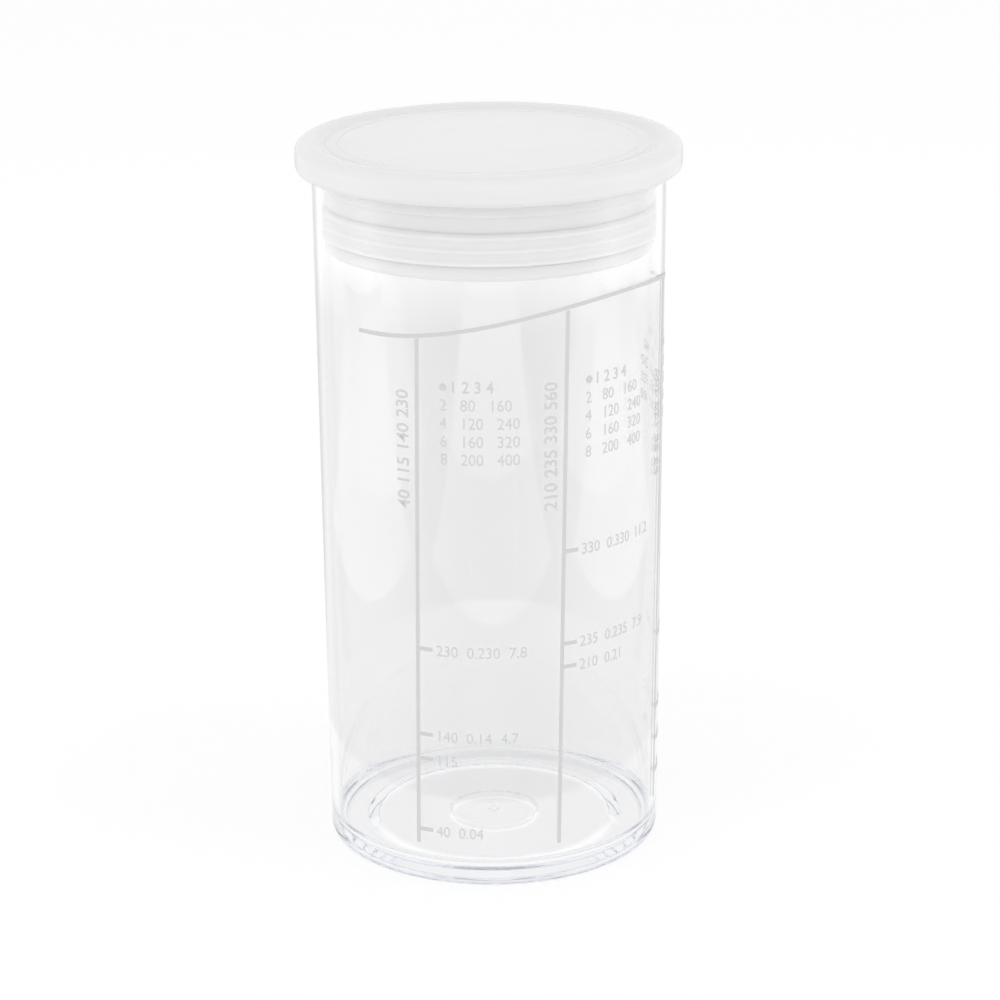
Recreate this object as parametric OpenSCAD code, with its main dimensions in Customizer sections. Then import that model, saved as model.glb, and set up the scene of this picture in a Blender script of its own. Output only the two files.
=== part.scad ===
// Dressing shaker: a clear tapered beaker with a printed scale, closed by a white push-in lid
// whose plug carries a soft sleeve with three sealing lips.
// Origin at the centre of the foot, +Z up, millimetres. The scale faces -Y.

/* [Beaker] */
// Outer diameter at the foot
foot_d = 76.9; // [60:0.1:95]
// Outer diameter of the wall at the rim
top_d = 79.2; // [62:0.1:98]
// Height of the beaker without its lid
beaker_h = 161.2; // [110:0.1:220]
// Thickness of the side wall
wall_t = 1.6; // [1.4:0.1:2.4]
// Thickness of the floor
floor_t = 2.8; // [1.5:0.1:5]
// Radius of the outer corner at the foot
foot_corner_r = 1.8; // [0.5:0.1:3]
// Radius of the inner corner between floor and wall
floor_corner_r = 3.2; // [1:0.1:6]

/* [Foot] */
// Width of the foot ring, from the beaker's side to the slope under the floor
foot_ring_w = 8.4; // [6:0.1:14]
// Width of the slope between the foot ring and the raised centre
recess_slope_w = 3; // [1.5:0.1:4]
// Height of the raised centre above the surface it stands on
recess_h = 1.2; // [0.6:0.1:2]
// Diameter of the round gate mark under the floor
gate_d = 20; // [12:0.5:30]
// Depth of the gate mark
gate_h = 0.4; // [0.2:0.05:0.8]
// Diameter of the gate nub in the middle of the mark
nub_d = 2.4; // [1.5:0.1:4]
// Height of the gate nub
nub_h = 0.6; // [0.2:0.05:0.8]

/* [Rim] */
// Radius of the rim's outer edge
rim_edge_r = 0.45; // [0.2:0.05:0.5]
// Radius of the rounded mouth inside the rim
mouth_r = 0.8; // [0.3:0.1:0.8]

/* [Lid] */
// How far the lid's side stands out past the beaker's wall
lid_overhang = 3.6; // [2.8:0.05:5]
// Height of the lid's side, from its lower edge to its highest line
lid_edge_h = 6.7; // [6.4:0.1:10]
// How far the lid's side reaches down over the beaker's rim
skirt_h = 2.9; // [1.5:0.1:3.2]
// Gap between the beaker's wall and the lid's side
skirt_gap = 0.4; // [0.2:0.05:0.6]
// Distance from the lid's side in to its highest line
crest_in = 3.15; // [2:0.05:5]
// Width of the slope from the highest line down to the sunk disc
crest_slope_w = 3.45; // [2:0.05:6]
// Height of the rounding from the lid's side to its highest line
crest_round_h = 2.3; // [1:0.1:3.5]
// Radius of the lid's lower edge
lid_under_r = 1.5; // [0.3:0.1:2]
// Depth of the sunk disc below the highest line
disc_drop = 0.85; // [0.4:0.05:1.4]
// Distance from the sunk disc's edge in to the fine ring on it
ring_in = 3.1; // [1:0.1:20]
// Width of the fine ring grooves
ring_w = 0.5; // [0.3:0.05:0.8]
// Depth of the fine ring grooves
ring_h = 0.15; // [0.05:0.01:0.3]
// Thickness of the lid's top plate
plate_t = 2; // [1.4:0.1:3]

/* [Plug] */
// Gap between the plug and the beaker's wall
plug_gap = 1; // [0.6:0.1:1.6]
// Depth of the plug below the beaker's rim
plug_h = 20.2; // [18:0.1:28]
// Thickness of the plug's wall
plug_wall_t = 2.8; // [2:0.1:4]
// Bevel at the plug's lower outer edge
plug_bevel = 0.9; // [0.3:0.1:1.4]
// Gap between the plug's collar and the beaker's wall
collar_gap = 0.4; // [0.2:0.05:0.6]
// Height of the collar below the beaker's rim
collar_h = 6; // [4:0.1:7]

/* [Seal] */
// Number of sealing lips
lip_n = 3; // [2:1:4]
// Distance between two lips
lip_pitch = 2.8; // [2.2:0.1:3.2]
// Thickness of a lip where it leaves the sleeve
lip_root_t = 1.2; // [0.6:0.05:1.4]
// Thickness of a lip at its tip
lip_tip_t = 0.5; // [0.3:0.05:0.6]
// How far a lip droops from root to tip
lip_droop = 0.3; // [0:0.05:0.6]
// Running gap between the lips and the beaker's wall
lip_gap = 0.3; // [0.2:0.05:0.5]
// Thickness of the sleeve that carries the lips
sleeve_t = 1; // [0.6:0.1:1.4]
// Distance from the plug's lower edge to the sleeve
sleeve_z = 3.3; // [2:0.1:5]
// Bare sleeve below the first lip and above the last
sleeve_end = 0.3; // [0.2:0.05:1]

/* [Printed scale] */
// Thickness of the ink
ink_t = 0.1; // [0.06:0.01:0.2]
// Gap that keeps the ink off the wall's own surface
ink_gap = 0.01; // [0:0.005:0.03]
// Width of the printed lines
line_w = 0.9; // [0.5:0.05:1.5]
// Height of the lower ends of the upright lines
line_z = 9.8; // [7:0.1:20]
// Distance from the beaker's rim down to the middle of the wave
wave_drop = 28.9; // [22:0.1:50]
// Rise of the wave above its middle height
wave_a = 4.1; // [1:0.1:5]
// Angle that one full wave takes round the beaker
wave_turn = 190; // [120:5:360]
// Angle at which the wave starts
wave_from = -46.5; // [-60:0.5:-40]
// Angle at which the wave ends
wave_to = 103; // [90:0.5:200]
// Angle at which the wave crosses its middle height
wave_mid = 3; // [-20:0.5:20]
// Length of a tick
tick_l = 3; // [1.5:0.1:5]
// Slant of the upright lines, in degrees for each millimetre of height
line_slant = 0.022; // [0:0.001:0.04]

/* [Hidden] */

// Each upright line: its angle at half height, then the heights of its ticks
SCALES = [
    [-24.8, [13.3, 30.7, 36.6, 57.1]],
    [23.9, [52.4, 57.9, 79.6]],
    [77, [16, 24, 32, 50]]
];

round_fn = 180;
top_z = beaker_h - skirt_h + lid_edge_h;
half_z = beaker_h / 2;
foot_r = foot_d / 2;
wave_z = beaker_h - wave_drop;
wall_slope = (top_d - foot_d) / 2 / beaker_h;

// Radius of the beaker's outer and inner wall at height z
function outer_r(z) = foot_r + wall_slope * z;
function inner_r(z) = outer_r(z) - wall_t;

// Points on an ellipse from angle a0 to a1, in n steps
function arc(cx, cz, rx, rz, a0, a1, n) =
    [for (i = [0 : n]) let (a = a0 + (a1 - a0) * i / n) [cx + rx * cos(a), cz + rz * sin(a)]];

floor_z = recess_h + floor_t;
recess_r = foot_r - foot_ring_w - recess_slope_w;
gate_r = gate_d / 2;
rim_z = beaker_h - rim_edge_r;
mouth_z = beaker_h - mouth_r;

// Half section of the beaker's outer surface, from the axis under the floor up to the rim
beaker_outside = concat(
    [[0, recess_h + gate_h], [gate_r, recess_h + gate_h], [gate_r + gate_h, recess_h]],
    [[recess_r, recess_h]],
    [[recess_r + recess_slope_w, 0]],
    arc(outer_r(foot_corner_r) - foot_corner_r, foot_corner_r, foot_corner_r, foot_corner_r,
        -90, 0, 8),
    arc(outer_r(rim_z) - rim_edge_r, rim_z, rim_edge_r, rim_edge_r, 0, 90, 5)
);

// Half section of the beaker's inner surface, from the rim down to the axis
beaker_inside = concat(
    arc(inner_r(mouth_z) + mouth_r, mouth_z, mouth_r, mouth_r, 90, 180, 8),
    arc(inner_r(floor_z + floor_corner_r) - floor_corner_r, floor_z + floor_corner_r,
        floor_corner_r, floor_corner_r, 0, -90, 8),
    [[0, floor_z]]
);

module beaker() {
    color([0.86, 0.88, 0.9, 0.35]) {
        rotate_extrude($fn = round_fn) polygon(concat(beaker_outside, beaker_inside));
        gate_nub();
    }
}

// Small broken-off gate in the middle of the mark, short of the surface below
module gate_nub() {
    nub_z = recess_h + gate_h - nub_h;
    translate([0, 0, nub_z]) cylinder(h = nub_h + floor_t / 2, d = nub_d, $fn = 32);
}

// The rim goes up into a groove between the plug and the lid's side, and the lid rests on it there
seat_z = beaker_h;
skirt_z = seat_z - skirt_h;
lid_r = outer_r(beaker_h) + lid_overhang;
groove_r = outer_r(beaker_h) + skirt_gap;
crest_r = lid_r - crest_in;
disc_r = crest_r - crest_slope_w;
disc_z = top_z - disc_drop;
ceiling_z = disc_z - plate_t;
plug_z = seat_z - plug_h;
plug_r = inner_r(plug_z) - plug_gap;
plug_inner_r = plug_r - plug_wall_t;
collar_z = seat_z - collar_h;
collar_r = inner_r(collar_z) - collar_gap;
collar_bevel = 0.3;
groove_corner_r = 0.3;
skirt_inner_r = 0.6;
seal_seat_r = plug_r - sleeve_t;
sleeve_h = (lip_n - 1) * lip_pitch + lip_root_t + 2 * sleeve_end;
sleeve_bottom_z = plug_z + sleeve_z;
sleeve_top_z = sleeve_bottom_z + sleeve_h;
plug_fillet_r = 2;

// Smooth rise from the sunk disc's edge to the lid's highest line
crest_slope = [for (i = [0 : 8])
    let (t = i / 8)
    [disc_r + (crest_r - disc_r) * t, disc_z + disc_drop * (1 - cos(180 * t)) / 2]];

// A shallow V groove of the fine rings, centred on radius r
function ring_groove(r) = [[r - ring_w / 2, disc_z], [r, disc_z - ring_h], [r + ring_w / 2, disc_z]];

// Half section of the lid: top, side, groove for the rim, collar, plug and its inside
lid_outline = concat(
    [[0, disc_z]],
    ring_groove(disc_r - ring_in),
    ring_groove(disc_r - ring_w / 2),
    [for (i = [1 : 8]) crest_slope[i]],
    [for (i = [11 : -1 : 0]) let (a = 90 * i / 12)
        [crest_r + (lid_r - crest_r) * cos(a), top_z - crest_round_h * (1 - sin(a))]],
    arc(lid_r - lid_under_r, skirt_z + lid_under_r, lid_under_r, lid_under_r, 0, -90, 6),
    arc(groove_r + skirt_inner_r, skirt_z + skirt_inner_r, skirt_inner_r, skirt_inner_r,
        -90, -180, 4),
    arc(groove_r - groove_corner_r, seat_z - groove_corner_r, groove_corner_r, groove_corner_r,
        0, 90, 3),
    arc(collar_r + groove_corner_r, seat_z - groove_corner_r, groove_corner_r, groove_corner_r,
        90, 180, 3),
    [[collar_r, collar_z + collar_bevel], [collar_r - collar_bevel, collar_z]],
    [[plug_r, collar_z]],
    [[plug_r, sleeve_top_z], [seal_seat_r, sleeve_top_z]],
    [[seal_seat_r, sleeve_bottom_z], [plug_r, sleeve_bottom_z]],
    [[plug_r, plug_z + plug_bevel], [plug_r - plug_bevel, plug_z], [plug_inner_r, plug_z]],
    arc(plug_inner_r - plug_fillet_r, ceiling_z - plug_fillet_r, plug_fillet_r, plug_fillet_r,
        0, 90, 6),
    [[0, ceiling_z]]
);

module lid_cap() {
    color([0.95, 0.95, 0.95])
        rotate_extrude($fn = round_fn) polygon(lid_outline);
}

// The lips all have one size, so the lowest and tightest place of the wall sets it
lip_base_z = sleeve_bottom_z + sleeve_end + lip_root_t / 2;
lip_r = inner_r(lip_base_z - lip_droop) - lip_gap;

// One lip's half section, from its root on the sleeve to its tip and back
function lip(z) = [
    [plug_r, z - lip_root_t / 2],
    [lip_r, z - lip_droop - lip_tip_t / 2],
    [lip_r, z - lip_droop + lip_tip_t / 2],
    [plug_r, z + lip_root_t / 2]
];

seal_outline = concat(
    [[seal_seat_r, sleeve_bottom_z], [plug_r, sleeve_bottom_z]],
    [for (i = [0 : lip_n - 1]) each lip(lip_base_z + i * lip_pitch)],
    [[plug_r, sleeve_top_z], [seal_seat_r, sleeve_top_z]]
);

module lip_seal() {
    color([0.9, 0.91, 0.91])
        rotate_extrude($fn = round_fn) polygon(seal_outline);
}

// Height of the wave's middle line at angle a, measured round from -Y towards +X
function wave(a) = wave_z + wave_a * sin(360 * (a - wave_mid) / wave_turn);

// A point on the printed surface at angle a and height z, lifted off the wall by t
function on_wall(a, z, t) = [(outer_r(z) + t) * sin(a), -(outer_r(z) + t) * cos(a), z];

// Angle that a width w takes on the wall at height z
function width_a(w, z) = w / outer_r(z) * 180 / PI;

// A film of ink between two edges, each a list of [angle, height]; both run the same way
module ink_film(edge_a, edge_b) {
    n = len(edge_a);
    lift = [ink_gap, ink_gap + ink_t];
    points = [for (i = [0 : n - 1]) each [
        on_wall(edge_a[i][0], edge_a[i][1], lift[0]), on_wall(edge_b[i][0], edge_b[i][1], lift[0]),
        on_wall(edge_b[i][0], edge_b[i][1], lift[1]), on_wall(edge_a[i][0], edge_a[i][1], lift[1])]];
    sides = [for (i = [0 : n - 2], k = [0 : 3])
        let (a = 4 * i + k, b = 4 * i + (k + 1) % 4)
        each [[a, b, b + 4], [a, b + 4, a + 4]]];
    ends = [[0, 2, 1], [0, 3, 2], [4 * n - 4, 4 * n - 3, 4 * n - 2], [4 * n - 4, 4 * n - 2, 4 * n - 1]];
    polyhedron(points = points, faces = concat(sides, ends));
}

wave_step = 2.5;
wave_angles = [for (a = [wave_from : wave_step : wave_to]) a];

// Angle of an upright line at height z, for a line at angle a at half height
function line_a(a, z) = a + line_slant * (z - half_z);

module scale_print() {
    color([0.72, 0.73, 0.74]) {
        ink_film([for (a = wave_angles) [a, wave(a) - line_w / 2]],
                 [for (a = wave_angles) [a, wave(a) + line_w / 2]]);
        for (s = SCALES) scale_line(s[0], s[1]);
    }
}

// One upright line with its ticks
module scale_line(a, ticks) {
    line_top_z = wave(a) - line_w / 2 - ink_t;
    line_steps = 8;
    zs = [for (i = [0 : line_steps]) line_z + (line_top_z - line_z) * i / line_steps];
    ink_film([for (z = zs) [line_a(a, z) + width_a(line_w / 2, z), z]],
             [for (z = zs) [line_a(a, z) - width_a(line_w / 2, z), z]]);
    for (z = ticks) tick(line_a(a, z) + width_a(line_w / 2 + ink_t, z), z);
}

// One tick that starts at angle a and runs on round the wall
module tick(a, z) {
    tick_steps = 2;
    angles = [for (i = [0 : tick_steps]) a + width_a(tick_l, z) * i / tick_steps];
    ink_film([for (b = angles) [b, z - line_w / 2]], [for (b = angles) [b, z + line_w / 2]]);
}

beaker();
scale_print();
lid_cap();
lip_seal();
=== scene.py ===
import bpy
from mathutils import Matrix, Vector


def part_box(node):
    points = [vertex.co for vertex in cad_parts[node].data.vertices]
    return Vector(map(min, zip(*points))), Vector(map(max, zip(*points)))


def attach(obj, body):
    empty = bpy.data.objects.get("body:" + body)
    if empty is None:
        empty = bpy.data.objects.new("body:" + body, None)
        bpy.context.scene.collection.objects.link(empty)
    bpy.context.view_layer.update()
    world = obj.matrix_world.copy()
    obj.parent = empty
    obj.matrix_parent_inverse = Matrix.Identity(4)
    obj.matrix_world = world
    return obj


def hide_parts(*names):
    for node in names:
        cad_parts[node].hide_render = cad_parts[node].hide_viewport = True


bl_info = {
    "name": "Dressing shaker",
    "version": (1, 0, 0),
    "blender": (4, 5, 0),
    "location": "3D View > Sidebar > Shaker",
    "description": "A clear tapered beaker with a printed scale and a white push-in lid",
    "category": "Object",
}

from math import atan, cos, pi, radians, sin

import bpy
from bpy.props import FloatProperty, FloatVectorProperty, IntProperty, PointerProperty
from mathutils import Matrix, Vector

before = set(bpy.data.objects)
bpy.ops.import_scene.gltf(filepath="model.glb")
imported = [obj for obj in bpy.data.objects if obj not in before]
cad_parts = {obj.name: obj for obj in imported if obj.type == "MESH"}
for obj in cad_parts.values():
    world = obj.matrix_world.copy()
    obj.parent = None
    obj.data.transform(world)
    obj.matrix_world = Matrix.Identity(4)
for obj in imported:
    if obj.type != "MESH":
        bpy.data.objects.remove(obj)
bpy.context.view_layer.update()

MM = 0.001
BEAKER_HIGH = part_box("beaker")[1]
LID_LOW, LID_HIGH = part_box("lid_cap")
SEAL_LOW, SEAL_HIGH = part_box("lip_seal")

# Radii at which the flat floor inside the beaker and the lid's flat disc have points
FLOOR_RINGS = (24 * MM, 12 * MM, 4 * MM, 0)
DISC_RINGS = (0, 15 * MM)

# Where a lip bends below and above: shares of its reach, of its droop and of its tip's thickness
LIP_BEND_BELOW = (0.55, 0.75, 0.62)
LIP_BEND_ABOVE = (0.5, 0.3, 0.68)

# Height of a digit as a share of the font's size, and the boldness of the larger print
DIGIT_SHARE = 0.73
BOLD = 0.012

# Each upright line: its angle at half height, its ticks as heights in mm with labels, and its title
UPRIGHTS = [
    (
        -24.8,
        [(13.3, "40  0.04"), (30.7, "115"), (36.6, "140  0.14  4.7"), (57.1, "230  0.230  7.8")],
        "40 115 140 230",
    ),
    (
        23.9,
        [(52.4, "210  0.21"), (57.9, "235  0.235  7.9"), (79.6, "330  0.330  11.2")],
        "210 235 330 560",
    ),
    (
        77,
        [(16, "50  0.05"), (24, "85  0.085"), (32, "120  0.12"), (50, "200  0.2")],
        "50 85 120 200",
    ),
]

# The print leans aside by so many degrees for each mm of height, and stands straight at this height in mm
LEAN = 0.022
LEAN_FROM = 80.6

# Angles of the blocks of rows, and their rows from the top down. A bullet stands before the first row
BLOCKS = (-16.5, 31.6, 84.6)
ROWS = ("1 2 3 4", "2   80   160", "4   120   240", "6   160   320", "8   200   400")

# Painted reflection: the table's brightness in gloss, seen in mirrored rays alone, round the object from
# the side of the scale to the backdrop. Each row gives the cosine of the angle from straight behind, the
# value near the object and the value far from it
PAINTED_TABLE_ROUND = [
    (-1.0, 0.15, 1.7),
    (-0.5, 0.55, 1.75),
    (-0.1, 0.7, 2.1),
    (0.3, 0.85, 1.5),
    (0.86, 0.95, 1.1),
    (0.91, 0.76, 0.8),
    (0.97, 0.76, 0.8),
    (0.99, 1.0, 1.0),
]

# Sides on which the cards of painted reflection lie, in degrees, and the cosines between which their glow
# changes
CARD_SIDES = (-90, 0, 90)
CARD_TURN = (-0.95, -0.3)

# Radius and steps of the round floor, and the heights of the stage's sheets over the foot
FLOOR_R, FLOOR_STEPS = 8.0, 64
FLOOR_Z, TABLE_Z, CARD_Z = -0.15 * MM, -0.1 * MM, 1 * MM

# Each softbox: its place, the point that it faces, its size, and the property that holds its power
SOFTBOXES = {
    "Softbox left": ((-0.45, -0.45, 1.5), (0, 0, 0.12), 0.32, "box_w"),
    "Softbox right": ((0.58, -0.26, 1.5), (0, 0, 0.12), 0.32, "box_w"),
    "Softbox front": ((0.1, -1.7, 0.75), (0, 0, 0.1), 1.1, "front_w"),
}

# The photograph's camera, fitted to its outlines: lengths in pixels, degrees, metres, and the sensor in mm
PICTURE_PX, FOCAL_PX, PAN_PX, TILT_PX = 1000, 3204.4, -8.413, -7.535
CAMERA_RISE, CAMERA_ROLL = 18.048, 0.463
CAMERA_AWAY, CAMERA_AIM_Z = 0.73806, 0.08180
SENSOR_W = 36


def length(name, description, default, high=1.0):
    """A size in metres for a property group."""
    return FloatProperty(
        name=name, description=description, default=default, min=0.0, max=high, unit="LENGTH", precision=5
    )


def share(name, description, default, high=1.0):
    """A plain factor from nought up to high for a property group."""
    return FloatProperty(name=name, description=description, default=default, min=0.0, max=high)


def power(name, description, default):
    """A lamp's power in watts for a property group."""
    return FloatProperty(name=name, description=description, default=default, min=0.0, unit="POWER")


def colour(name, description, default):
    """A colour for a property group."""
    return FloatVectorProperty(
        name=name, description=description, default=default, size=3, min=0.0, max=1.0, subtype="COLOR"
    )


class ShakerBeaker(bpy.types.PropertyGroup):
    foot_r: length("Foot radius", "Radius of the wall at the foot", 38.45 * MM)
    top_r: length("Top radius", "Radius of the wall at the rim", 39.6 * MM)
    wall_t: length("Wall", "Thickness of the side wall", 1.6 * MM)
    floor_t: length("Floor", "Thickness of the floor", 2.8 * MM)
    foot_corner_r: length("Foot corner", "Outer corner at the foot", 1.8 * MM)
    floor_corner_r: length("Floor corner", "Inner corner between floor and wall", 3.2 * MM)
    foot_ring_w: length("Foot ring", "Width of the foot ring", 8.4 * MM)
    recess_slope_w: length("Recess slope", "Width of the slope inside the foot ring", 3 * MM)
    recess_h: length("Recess", "Height of the raised centre under the floor", 1.2 * MM)
    gate_r: length("Gate mark radius", "Radius of the round gate mark under the floor", 10 * MM)
    gate_h: length("Gate mark depth", "Depth of the gate mark", 0.4 * MM)
    nub_r: length("Gate nub radius", "Radius of the broken-off gate", 1.2 * MM)
    nub_h: length("Gate nub height", "Height of the broken-off gate", 0.6 * MM)
    rim_edge_r: length("Rim edge", "Rounding of the rim's outer edge", 0.45 * MM)
    mouth_r: length("Mouth", "Rounding of the mouth inside the rim", 0.8 * MM)
    edge_soft: length("Soft edges", "Reach of the rounding at the edges under the floor", 0.25 * MM)
    turns: IntProperty(
        name="Steps round", description="Faces round the turned pieces", default=240, min=48, max=512
    )
    clear: colour("Clear plastic", "Tint of the clear plastic", (0.951, 0.951, 0.953))
    depth_tint: colour("Depth tint", "Colour that thick clear plastic takes", (0.0, 0.25, 0.8))
    density: share("Depth density", "How fast thick plastic darkens, for each metre", 1.0, 100.0)
    passing: share("Light passing", "Share of the lamps' light that comes through the clear wall", 0.985)


class ShakerLid(bpy.types.PropertyGroup):
    edge_r: length("Lid radius", "Radius of the lid's side", LID_HIGH.x)
    top_z: length("Lid top", "Height of the lid's highest line", LID_HIGH.z)
    seat_z: length("Seat", "Height of the rim that the lid rests on", BEAKER_HIGH.z)
    skirt_h: length("Skirt", "How far the lid's side reaches down past the rim", 2.9 * MM)
    groove_r: length("Groove", "Radius of the groove that takes the rim", 40 * MM)
    groove_edge_r: length("Groove edge", "Rounding of the groove's lower edge", 0.6 * MM)
    collar_z: length("Collar end", "Height of the collar's lower edge", 155.2 * MM)
    collar_r: length("Collar radius", "Radius of the collar at the plug's root", 37.557 * MM)
    collar_bevel: length("Collar bevel", "Bevel at the collar's lower edge", 0.3 * MM)
    plug_z: length("Plug end", "Height of the plug's lower edge", LID_LOW.z)
    plug_r: length("Plug radius", "Radius of the plug", 36.856 * MM)
    crest_in: length("Crest", "Distance from the side in to the highest line", 3.15 * MM)
    crest_slope_w: length("Slope", "Width of the slope down to the sunk disc", 3.45 * MM)
    crest_round_h: length("Side rounding", "Height of the rounding from side to crest", 2.3 * MM)
    under_r: length("Lower edge", "Rounding of the lid's lower edge", 1.5 * MM)
    disc_drop: length("Sunk disc", "Depth of the disc below the highest line", 0.85 * MM)
    ring_field: length("Ring field", "Width of the outer band of the disc with the fine rings", 6 * MM)
    ring_in: length("Fine ring", "Distance from the disc's edge in to the fine ring", 3.1 * MM)
    ring_w: length("Ring width", "Width of the fine ring grooves", 0.5 * MM)
    ring_h: length("Ring depth", "Depth of the fine ring grooves", 0.15 * MM)
    ring_soft: length("Soft rings", "Reach of the rounding at the fine ring grooves", 0.1 * MM)
    plate_t: length("Plate", "Thickness of the lid's top plate", 2 * MM)
    plug_wall_t: length("Plug wall", "Thickness of the plug's wall", 2.8 * MM)
    plug_bevel: length("Plug bevel", "Bevel at the plug's lower edge", 0.9 * MM)
    plug_soft: length("Soft edges", "Reach of the rounding at the plug's edges", 0.18 * MM)
    fillet_r: length("Fillet", "Rounding between the plug's wall and the plate", 2 * MM)
    bleed: length("Light bleed", "How far light spreads inside the lid's plastic", 4 * MM)
    passing: share("Light passing", "Share of the light that comes through the lid's plastic", 0.3)
    white: colour("Lid white", "Colour of the lid", (0.8, 0.8, 0.8))


class ShakerSeal(bpy.types.PropertyGroup):
    lips: IntProperty(name="Lips", description="Number of sealing lips", default=3, min=1, max=4)
    pitch: length("Pitch", "Distance between two lips", 2.8 * MM)
    lip_r: length("Lip radius", "Radius of the lips at their tips", SEAL_HIGH.x)
    root_t: length("Lip root", "Thickness of a lip where it leaves the sleeve", 1.2 * MM)
    tip_t: length("Lip tip", "Thickness of a lip at its tip", 0.5 * MM)
    droop: length("Droop", "How far a lip droops", 0.3 * MM)
    sleeve_t: length("Sleeve", "Thickness of the sleeve", 1 * MM)
    sleeve_end: length("Sleeve end", "Bare sleeve below the first lip", 0.3 * MM)
    lip_soft: length("Soft edges", "Reach of the rounding at the lips' edges", 0.14 * MM)
    bleed: length("Light bleed", "How far light spreads inside the soft sleeve", 2 * MM)
    milky: colour("Seal colour", "Colour of the soft sleeve", (0.86, 0.86, 0.86))
    passing: share("Light passing", "Share of the light that comes through the milky sleeve", 0.5)


class ShakerPrint(bpy.types.PropertyGroup):
    ink_t: length("Ink", "Thickness of the ink", 0.06 * MM)
    ink_gap: length("Ink gap", "Gap that keeps the ink off the wall", 0.03 * MM)
    digit_h: length("Digits", "Height of the digits beside the ticks", 2.7 * MM)
    title_h: length("Upright digits", "Height of the digits that run up the lines", 3.1 * MM)
    narrow: share("Narrowness", "Width of the digits as a share of the font's own", 0.92)
    title_wide: share("Upright width", "Width of the upright digits as a share of the others'", 1.1, 2.0)
    label_in: length("Label gap", "Distance from an upright line to the labels of its ticks", 4.4 * MM)
    title_out: length("Title gap", "Distance from an upright line back to its title", 1.7 * MM)
    title_z: length("Title height", "Height at which the titles start", 89.5 * MM)
    rows_z: length("Rows", "Height of the first row of a block", 117 * MM)
    row_step: length("Row step", "Distance from one row to the next", 4.1 * MM)
    first_in: length("First row", "Distance that the first row stands in, past its bullet", 2.3 * MM)
    bullet_in: length("Bullet place", "Distance from a block's edge to the middle of its bullet", 0.9 * MM)
    bullet_up: length("Bullet height", "Height of a bullet's middle above its row", 1.2 * MM)
    bullet_r: length("Bullet", "Radius of a bullet", 0.85 * MM)
    ink: colour("Ink colour", "Colour of the printed scale", (0.68, 0.68, 0.68))


class ShakerStage(bpy.types.PropertyGroup):
    ground: colour("Ground", "Colour of the floor", (0.98, 0.98, 0.98))
    lift: share("White lift", "What the floor adds to reach white in the picture", 0.13)
    # Painted light: rings of glow on the floor, where the clear foot would gather light
    painted_ring_glow: share("Light rings", "Light that the thick foot gathers in rings on the floor", 0.22)
    painted_ring_half_w: length("Ring half width", "Half the width of a ring of gathered light", 1.8 * MM)
    side_light: share("Side light", "Strength of the light from all round at the horizon", 1.18, 2.0)
    top_light: share("Top light", "Strength of the light from straight above", 0.69, 2.0)
    box_w: power("Softboxes", "Power of each upper softbox", 0.6)
    front_w: power("Front box", "Power of the front softbox", 1.6)
    # Painted reflections: brightness of the table and card sheets that show in mirrored rays alone
    under: share("Under", "Brightness in gloss of the table under the middle of the object", 0.85, 4.0)
    under_r: length("Under radius", "Radius of the table under the middle of the object", 28 * MM)
    foot_glow: share("Foot", "Brightness in gloss of the table round the foot", 1.0, 4.0)
    foot_glow_r: length("Foot radius", "Radius of the table round the foot", 85 * MM)
    far_start: length("Far start", "Distance at which the far table starts", 0.49, high=5.0)
    far_end: length("Far end", "Distance from which the far table is as bright as it gets", 0.58, high=5.0)
    card_front: share("Front card", "Brightness in gloss of the card on the side of the scale", 0.6, 4.0)
    card_back: share("Other cards", "Brightness in gloss of the cards behind", 1.1, 4.0)
    card_d: length("Card distance", "Distance from the middle of the object to a card", 199 * MM)
    card_w: length("Card width", "Width of a reflector card", 310 * MM)
    card_l: length("Card length", "Length of a reflector card away from the object", 330 * MM)
    card_fade: length("Card fade", "Length over which a card fades at its far end", 100 * MM)
    card_tip: share("Card end", "Brightness in gloss of a card at its far end", 0.9, 4.0)
    path_steps: IntProperty(
        name="Light path steps",
        description="How often a ray may turn inside the thick clear foot",
        default=96,
        min=4,
    )


def arc(r, z, rr, rz, start, end, steps):
    """Points on an ellipse in the half section from one angle to another, in degrees."""
    angles = [radians(start + (end - start) * i / steps) for i in range(steps + 1)]
    return [(r + rr * cos(a), z + rz * sin(a)) for a in angles]


def soften(outline, reach, steps=3, turn=14):
    """Rounds each corner of an open outline that turns by more than turn degrees."""
    done = [outline[0]]
    for before, corner, after in zip(outline, outline[1:], outline[2:]):
        p, c, n = Vector(before), Vector(corner), Vector(after)
        back, on = p - c, n - c
        if back.length < 1e-7 or on.length < 1e-7:
            continue
        if degrees_between(-back, on) < turn:
            done.append(corner)
            continue
        a = c + back * min(reach / back.length, 0.45)
        b = c + on * min(reach / on.length, 0.45)
        for i in range(steps + 1):
            t = i / steps
            done.append(tuple(a * (1 - t) ** 2 + c * 2 * t * (1 - t) + b * t**2))
    return done + [outline[-1]]


def degrees_between(a, b):
    """The angle between two vectors, in degrees."""
    return a.angle(b) * 180 / pi


def held(outline, reach=0.12 * MM):
    """Adds a point close to both ends of each long stretch, so that only its ends are shaded round."""
    done = [outline[0]]
    for before, after in zip(outline, outline[1:]):
        p, n = Vector(before), Vector(after)
        span = (n - p).length
        if span > 5 * reach:
            done += [tuple(p.lerp(n, reach / span)), tuple(n.lerp(p, reach / span))]
        done.append(after)
    return done


def feed(tree, socket, value):
    """Links another node's output to an input, or sets the input to a plain value."""
    if isinstance(value, bpy.types.NodeSocket):
        tree.links.new(value, socket)
    else:
        socket.default_value = value


def add(tree, kind, settings=(), **inputs):
    """Adds a node with its settings, and sets or links its inputs, named with _ for a space."""
    node = tree.nodes.new(kind)
    for name, value in dict(settings).items():
        setattr(node, name, value)
    for name, value in inputs.items():
        feed(tree, node.inputs[name.replace("_", " ")], value)
    return node


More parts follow.
